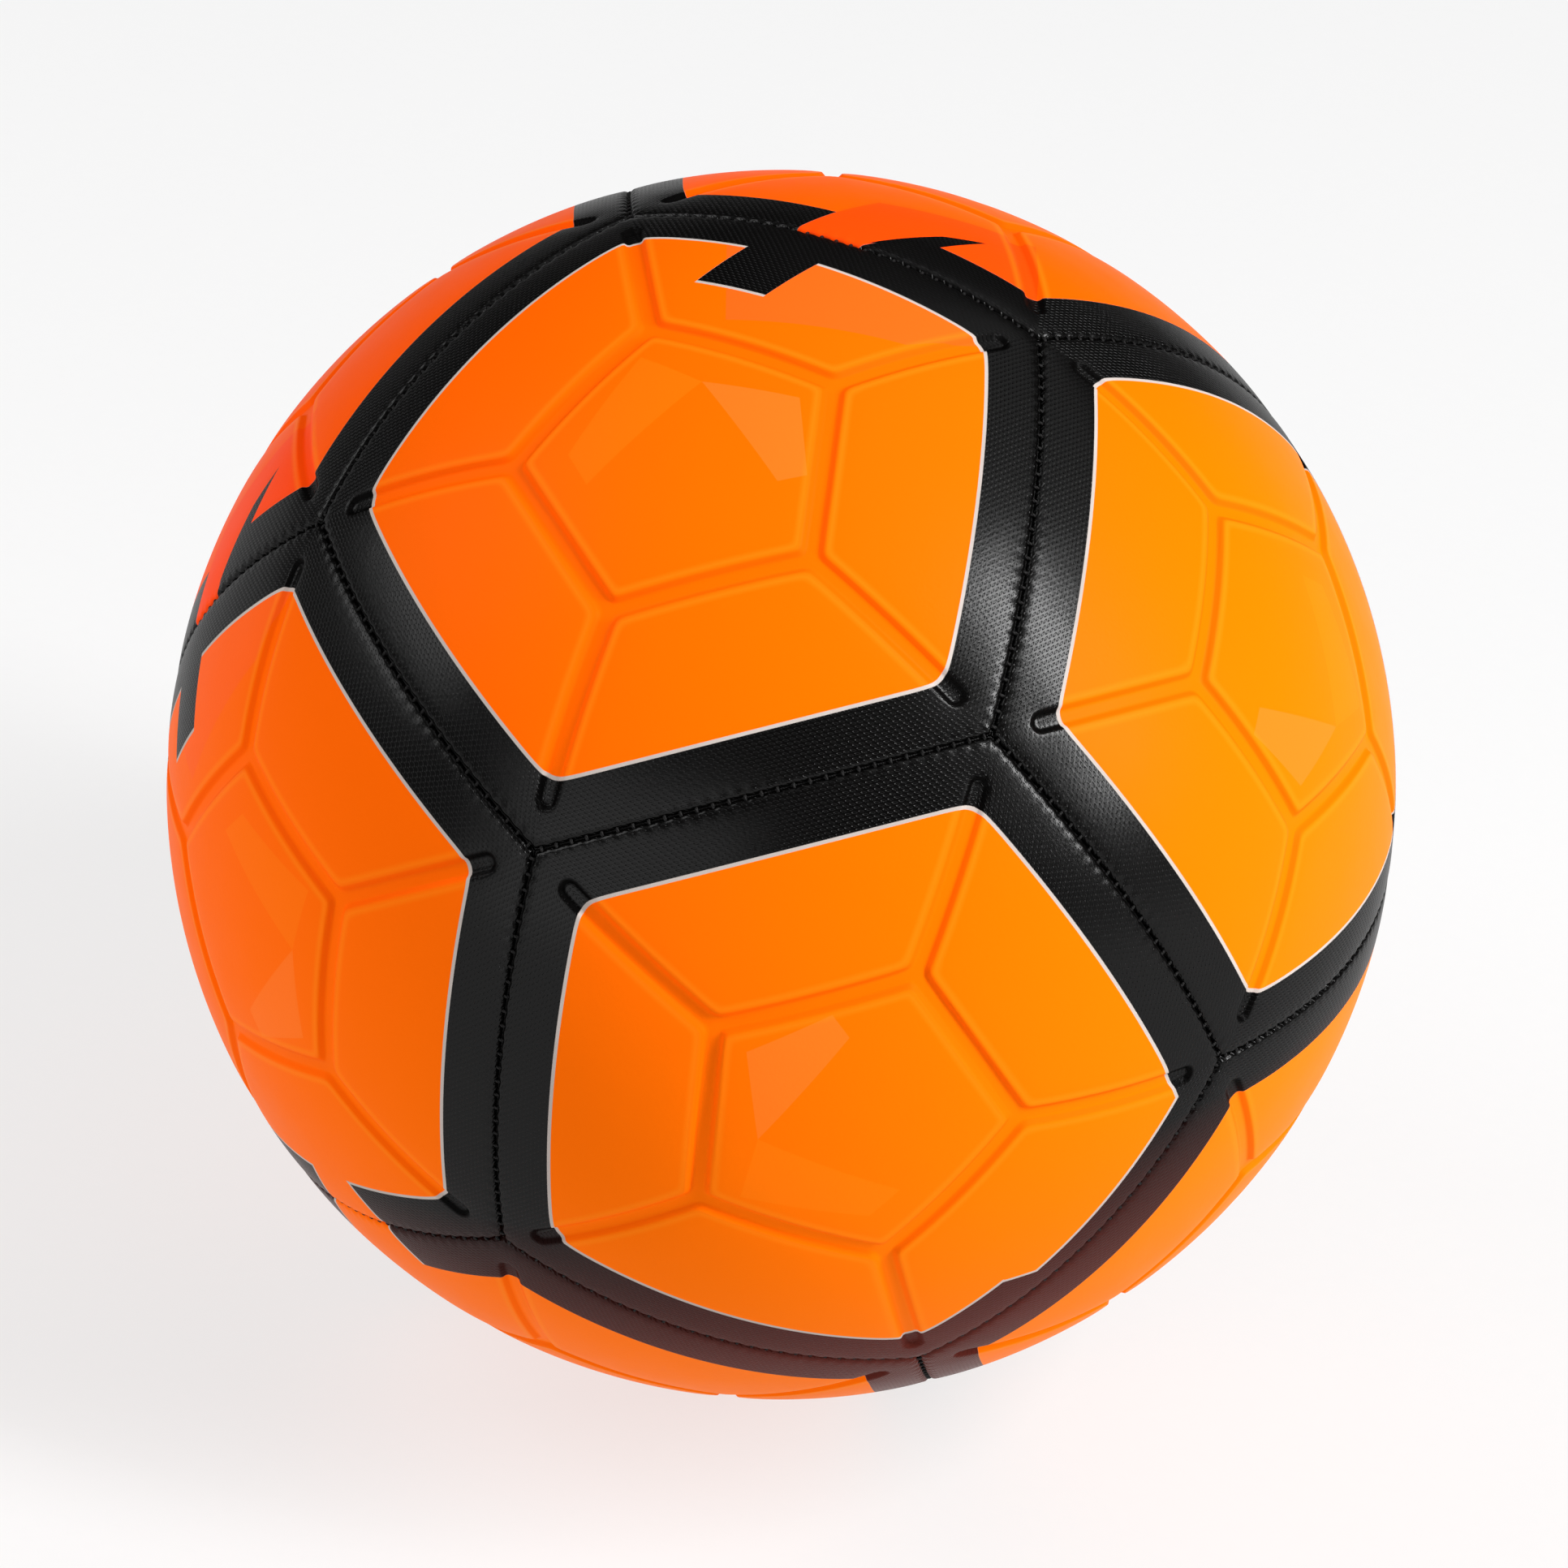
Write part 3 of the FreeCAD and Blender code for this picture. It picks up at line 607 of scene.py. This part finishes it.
satin = number_between(tree, mottle(tree, where, 120.0), 0.36, 0.48)
gloss = number_between(tree, mottle(tree, where, 45.0), 0.24, 0.34)
orange_rough = work_out("MULTIPLY", work_out("SUBTRACT", 1.0, is_black), satin)
rough = work_out("ADD", work_out("MULTIPLY", is_black, gloss), orange_rough)
rough = work_out("ADD", rough, work_out("MULTIPLY", wall_share, 0.2))
tree.links.new(rough, surface.inputs["Roughness"])
surface.inputs["Specular IOR Level"].default_value = 0.015
lacquer = work_out("MULTIPLY", is_black, work_out("SUBTRACT", 0.08, work_out("MULTIPLY", wall_share, 0.075)))
lacquer = work_out("MULTIPLY", lacquer, work_out("SUBTRACT", 1.0, work_out("MULTIPLY", under, 0.6)))
tree.links.new(lacquer, surface.inputs["Coat Weight"])
surface.inputs["Coat Roughness"].default_value = 0.25
surface.inputs["Coat IOR"].default_value = 2.5

sides = [(0, 1, golden), (1, golden, 0), (golden, 0, 1)]
panel_middles = [
    np.array([x * a, y * b, z * c]) / math.hypot(1, golden)
    for x, y, z in sides
    for a in (1, -1)
    for b in (1, -1)
    for c in (1, -1)
]


def nearest_middle(node_name):
    low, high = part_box(node_name)
    centre = np.array([(a + b) / 2 for a, b in zip(low, high)])
    return max(panel_middles, key=lambda middle: float(middle @ centre))


# Marks in the border: on two seams a tab on one panel faces a break on the other, one border
# has a step, and one seam has a gap through both its borders.
def panel_towards(x, y, z):
    return max(panel_middles, key=lambda middle: float(middle @ np.array((x, y, z))))


marked_seams = [
    (np.array([0, 0, 1.0]), panel_towards(0, -0.53, 0.85), panel_towards(0, 0.53, 0.85)),
    (np.array([-0.809, -0.5, 0.309]), panel_towards(-0.53, -0.85, 0), panel_towards(-0.85, 0, 0.53)),
]
step_seam = np.array([0.809, -0.5, -0.309])
step_side = panel_towards(0.53, -0.85, 0)
gap_seam = np.array([-0.309, -0.809, -0.5])
gap_sides = (panel_towards(-0.53, -0.85, 0), panel_towards(0, -0.53, -0.85))
unlined_ways = [(0, 0.53, 0.85), (0, -0.53, -0.85), (-0.85, 0, 0.53), (0.85, 0, -0.53)]
unlined = [panel_towards(*way) for way in unlined_ways]


def same(first, second):
    return float(first @ second) > 0.99


plain_mesh, plain_directions = skin_mesh("skin_plain", False)
valve_mesh, valve_directions = skin_mesh("skin_valve", True)
valve_middle = nearest_middle("valve_plug")


def add_map(mesh, name, values):
    corners = np.empty(len(mesh.loops), dtype=np.int32)
    mesh.loops.foreach_get("vertex_index", corners)
    layer = mesh.uv_layers.new(name=name)
    layer.data.foreach_set("uv", values[corners].ravel())


def mark_place(mesh, name, directions, middle, seam):
    """Run and reach of every point from one seam of the panel, for the print on that side."""
    if seam is None:
        values = np.full((len(directions), 2), nowhere)
    else:
        inward = middle - seam * (middle @ seam)
        inward = inward / np.linalg.norm(inward)
        along = np.cross(inward, seam)
        values = np.column_stack(
            [
                np.arctan2(directions @ along, directions @ seam) * ball_radius,
                np.arcsin(np.clip(directions @ inward, -1, 1)) * ball_radius,
            ]
        )
    add_map(mesh, name, values)


for number in range(1, 13):
    middle = nearest_middle(f"cover_panel_{number:02d}")
    has_valve = same(middle, valve_middle)
    mesh = (valve_mesh if has_valve else plain_mesh).copy()
    directions = valve_directions if has_valve else plain_directions
    seam = max((*np.eye(3), *-np.eye(3)), key=lambda axis: float(middle @ axis))
    across = seam - middle * (seam @ middle)
    across = across / np.linalg.norm(across)
    turn = np.column_stack([across, np.cross(middle, across), middle])
    mesh.transform(Matrix(turn.tolist()).to_4x4())
    add_map(mesh, "panel_map", directions[:, :2] / directions[:, 2:] * ball_radius)
    directions = directions @ turn.T
    tabs = [seam for seam, tab_side, _ in marked_seams if same(middle, tab_side)]
    breaks = [seam for seam, _, break_side in marked_seams if same(middle, break_side)]
    mark_place(mesh, "tab_map", directions, middle, tabs[0] if tabs else None)
    mark_place(mesh, "break_map", directions, middle, breaks[0] if breaks else None)
    mark_place(mesh, "step_map", directions, middle, step_seam if same(middle, step_side) else None)
    crossed = any(same(middle, each) for each in gap_sides)
    mark_place(mesh, "gap_map", directions, gap_sides[0], gap_seam if crossed else None)
    has_line = 0.0 if any(same(middle, each) for each in unlined) else 1.0
    line_share = mesh.attributes.new("has_pale_line", "FLOAT", "POINT")
    line_share.data.foreach_set("value", [has_line] * len(directions))
    mesh.materials.append(skin)
    mesh.shade_smooth()
    mesh.set_sharp_from_angle(angle=math.radians(50))
    panel = bpy.data.objects.new(f"moulded_panel_{number:02d}", mesh)
    bpy.context.collection.objects.link(panel)
    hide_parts(f"cover_panel_{number:02d}")
    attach(panel, "root")
bpy.data.meshes.remove(plain_mesh)
bpy.data.meshes.remove(valve_mesh)


# -------------------------------------------------------------- stitching
# Waxed five-ply polyester thread. The two turned-in edges are drawn together by a stitch
# every 2.8 mm, sewn from inside, with the thread running on below between the stitches.

thread_radius = 0.00028
stitch_crest = 0.7
stitch_reach = 0.0008
stitch_sink = 0.0009
stitch_ease = 0.0004
stitch_rise = 0.0003
running_depth = 1.5
running_points = 48

thread, tree, surface = begin_material("waxed_thread")
where = place_on_object(tree)
twist = {"Vector": where, "Scale": 900.0, "Distortion": 1.5}
ply = add(tree, "ShaderNodeTexWave", twist, bands_direction="DIAGONAL").outputs["Fac"]
dye = shade_between(tree, ply, [(0.0, (0.004, 0.004, 0.004)), (1.0, (0.014, 0.013, 0.013))])
tree.links.new(dye, surface.inputs["Base Color"])
surface.inputs["Roughness"].default_value = 0.6
surface.inputs["Specular IOR Level"].default_value = 0.15
relief(tree, surface, ply, 0.00005)


def stitching_tree():
    tree = bpy.data.node_groups.new("seam_stitching", "GeometryNodeTree")
    interface = tree.interface
    interface.new_socket(name="Seams", in_out="INPUT", socket_type="NodeSocketGeometry")
    for name, kind in (
        ("Stitches per seam", "NodeSocketInt"),
        ("Thread radius", "NodeSocketFloat"),
        ("Stitch reach", "NodeSocketFloat"),
        ("Running thread scale", "NodeSocketFloat"),
        ("Thread material", "NodeSocketMaterial"),
    ):
        interface.new_socket(name=name, in_out="INPUT", socket_type=kind)
    interface.new_socket(name="Stitching", in_out="OUTPUT", socket_type="NodeSocketGeometry")
    given = tree.nodes.new("NodeGroupInput")
    result = tree.nodes.new("NodeGroupOutput")

    lines = add(tree, "GeometryNodeMeshToCurve", {"Mesh": given.outputs["Seams"]})
    spots = add(
        tree,
        "GeometryNodeResampleCurve",
        {"Curve": lines.outputs["Curve"], "Count": given.outputs["Stitches per seam"]},
    )
    place = add(tree, "GeometryNodeInputPosition")
    tangent = add(tree, "GeometryNodeInputTangent")
    outward = add(tree, "FunctionNodeAlignRotationToVector", {"Vector": place.outputs["Position"]}, axis="Z")
    facing = add(
        tree,
        "FunctionNodeAlignRotationToVector",
        {"Rotation": outward.outputs["Rotation"], "Vector": tangent.outputs["Tangent"]},
        axis="Y",
        pivot_axis="Z",
    )

    right = add(tree, "ShaderNodeCombineXYZ", {"X": given.outputs["Stitch reach"]}).outputs["Vector"]
    mirrored = add(tree, "ShaderNodeVectorMath", {0: right, 1: (-1, 1, 1)}, operation="MULTIPLY")
    left = mirrored.outputs["Vector"]
    sunk = [
        add(tree, "ShaderNodeVectorMath", {0: end, 1: drop}, operation="ADD").outputs["Vector"]
        for end, drop in (
            (left, (0, 0, -stitch_sink)),
            (left, (stitch_ease, 0, stitch_rise)),
            (right, (-stitch_ease, 0, stitch_rise)),
            (right, (0, 0, -stitch_sink)),
        )
    ]
    arch = add(
        tree,
        "GeometryNodeCurvePrimitiveBezierSegment",
        {"Resolution": 8, "Start": sunk[0], "Start Handle": sunk[1], "End Handle": sunk[2], "End": sunk[3]},
    )
    thread_round = {"Resolution": 7, "Radius": given.outputs["Thread radius"]}
    round_profile = add(tree, "GeometryNodeCurvePrimitiveCircle", thread_round)
    stitch = add(
        tree,
        "GeometryNodeCurveToMesh",
        {"Curve": arch.outputs["Curve"], "Profile Curve": round_profile.outputs["Curve"], "Fill Caps": True},
    )
    stitches = add(
        tree,
        "GeometryNodeInstanceOnPoints",
        {
            "Points": spots.outputs["Curve"],
            "Instance": stitch.outputs["Mesh"],
            "Rotation": facing.outputs["Rotation"],
        },
    )
    path = add(tree, "GeometryNodeResampleCurve", {"Curve": lines.outputs["Curve"], "Count": running_points})
    lowered = add(
        tree,
        "ShaderNodeVectorMath",
        {0: place.outputs["Position"], "Scale": given.outputs["Running thread scale"]},
        operation="SCALE",
    )
    sunk_path = add(
        tree,
        "GeometryNodeSetPosition",
        {"Geometry": path.outputs["Curve"], "Position": lowered.outputs["Vector"]},
    )
    running = add(
        tree,
        "GeometryNodeCurveToMesh",
        {
            "Curve": sunk_path.outputs["Geometry"],
            "Profile Curve": round_profile.outputs["Curve"],
            "Fill Caps": True,
        },
    )
    both = add(tree, "GeometryNodeJoinGeometry")
    tree.links.new(stitches.outputs["Instances"], both.inputs["Geometry"])
    tree.links.new(running.outputs["Mesh"], both.inputs["Geometry"])
    real = add(tree, "GeometryNodeRealizeInstances", {"Geometry": both.outputs["Geometry"]})
    smooth = add(tree, "GeometryNodeSetShadeSmooth", {"Geometry": real.outputs["Geometry"]})
    dyed = add(
        tree,
        "GeometryNodeSetMaterial",
        {"Geometry": smooth.outputs["Geometry"], "Material": given.outputs["Thread material"]},
    )
    tree.links.new(dyed.outputs["Geometry"], result.inputs["Stitching"])
    return tree


# Seams meet in threes where the panels' corners do: the ends of each are two corners that
# share two panels.
corner_points = []
for a in (1, -1):
    for b in (1, -1):
        corner_points += [np.array([a, b, 1.0]), np.array([a, b, -1.0])]
        corner_points.append(np.array([a / golden, 0, b * golden]))
        corner_points.append(np.array([a * golden, b / golden, 0]))
        corner_points.append(np.array([0, a * golden, b / golden]))
corner_points = [point / np.linalg.norm(point) for point in corner_points]
neighbour = math.cos(seam_length / ball_radius)
seam_radius = (ball_radius - stitch_crest) / 1000
steps_along = 24
seam_points, seam_edges = [], []
for index, start in enumerate(corner_points):
    for end in corner_points[index + 1 :]:
        if abs(start @ end - neighbour) > 0.01:
            continue
        angle = math.acos(start @ end)
        margin = 0.5 / stitches_per_seam
        base = len(seam_points)
        for share in np.linspace(margin, 1 - margin, steps_along):
            point = (math.sin((1 - share) * angle) * start + math.sin(share * angle) * end) / math.sin(angle)
            seam_points.append((point * seam_radius).tolist())
        seam_edges += [(base + k, base + k + 1) for k in range(steps_along - 1)]
lines = bpy.data.meshes.new("seam_lines")
lines.from_pydata(seam_points, seam_edges, [])
stitching = bpy.data.objects.new("seam_stitching", lines)
bpy.context.collection.objects.link(stitching)
sewing = stitching.modifiers.new("sewing", "NODES")
sewing.node_group = stitching_tree()
sewn_sizes = {
    "Stitches per seam": stitches_per_seam,
    "Thread radius": thread_radius,
    "Stitch reach": stitch_reach,
    "Running thread scale": (ball_radius - running_depth) / (ball_radius - stitch_crest),
    "Thread material": thread,
}
for item in sewing.node_group.interface.items_tree:
    if item.item_type == "SOCKET" and item.in_out == "INPUT" and item.name in sewn_sizes:
        sewing[item.identifier] = sewn_sizes[item.name]
sewn = bpy.data.meshes.new_from_object(stitching.evaluated_get(bpy.context.evaluated_depsgraph_get()))
stitching.modifiers.remove(sewing)
stitching.data = sewn
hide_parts(*[f"seam_thread_{name}" for name in ("top", "upper", "middle", "lower", "bottom")])
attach(stitching, "root")


# ------------------------------------------------------------------ stage
# A pale floor that the ball rests on, a tall narrow light on the right that gives the black
# its sheen, broad soft ones on the left, overhead and in front, and a faint even surround.

floor_half = 6.0
floor_mesh = bpy.data.meshes.new("floor")
floor_z = -ball_radius / 1000
floor_corners = [(x * floor_half, y * floor_half, floor_z) for x, y in ((-1, -1), (1, -1), (1, 1), (-1, 1))]
floor_mesh.from_pydata(floor_corners, [], [(0, 1, 2, 3)])
floor = bpy.data.objects.new("floor", floor_mesh)
bpy.context.collection.objects.link(floor)
paper, tree, surface = begin_material("paper_floor")
fibres = mottle(tree, place_on_object(tree), 300.0)
paper_tone = shade_between(tree, fibres, [(0.0, (0.19, 0.19, 0.19)), (1.0, (0.2, 0.2, 0.2))])
tree.links.new(paper_tone, surface.inputs["Base Color"])
surface.inputs["Emission Color"].default_value = (1, 1, 1, 1)
surface.inputs["Emission Strength"].default_value = 0.71
surface.inputs["Roughness"].default_value = 0.95
surface.inputs["Specular IOR Level"].default_value = 0.1
floor_mesh.materials.append(paper)

lamps = [
    ("right_softbox", (0.79, 0.02, 0.61), 1.6, 0.3, 1.2, 38.0),
    ("left_softbox", (-0.75, -0.3, 0.6), 1.8, 1.2, 1.2, 17.0),
    ("overhead_softbox", (0.2, 0.3, 0.93), 1.6, 1.8, 1.8, 8.0),
    ("front_softbox", (-0.1, -1.0, 0.05), 1.8, 1.6, 1.6, 12.5),
]
for name, direction, distance, width, height, watts in lamps:
    lamp = bpy.data.lights.new(name, "AREA")
    lamp.shape = "RECTANGLE"
    lamp.size = width
    lamp.size_y = height
    lamp.energy = watts
    lamp_object = bpy.data.objects.new(name, lamp)
    aim = Vector(direction).normalized()
    lamp_object.location = aim * distance
    lamp_object.rotation_mode = "QUATERNION"
    lamp_object.rotation_quaternion = (-aim).to_track_quat("-Z", "Y")
    bpy.context.collection.objects.link(lamp_object)

surround_strength = 0.05
world = bpy.data.worlds.new("studio")
world.use_nodes = True
world.node_tree.nodes["Background"].inputs["Color"].default_value = (1, 1, 1, 1)
world.node_tree.nodes["Background"].inputs["Strength"].default_value = surround_strength
bpy.context.scene.world = world
bpy.context.scene.view_settings.view_transform = "Standard"

camera_distance = 1.254
sideways = 0.00048
upwards = 0.00011
towards_camera = Vector((0.3318, -0.7908, 0.5143)).normalized()
camera_up = Vector((-0.2906, 0.4330, 0.8533))
camera_right = camera_up.cross(towards_camera).normalized()
camera_up = towards_camera.cross(camera_right)
camera_data = bpy.data.cameras.new("camera")
camera_data.lens = 160.6
camera_data.sensor_width = 36.0
camera_data.clip_start = 0.05
camera_data.clip_end = 50.0
camera = bpy.data.objects.new("camera", camera_data)
bpy.context.collection.objects.link(camera)
turned = Matrix((camera_right, camera_up, towards_camera)).transposed().to_4x4()
stand = towards_camera * camera_distance + camera_right * sideways + camera_up * upwards
camera.matrix_world = Matrix.Translation(stand) @ turned
bpy.context.scene.camera = camera
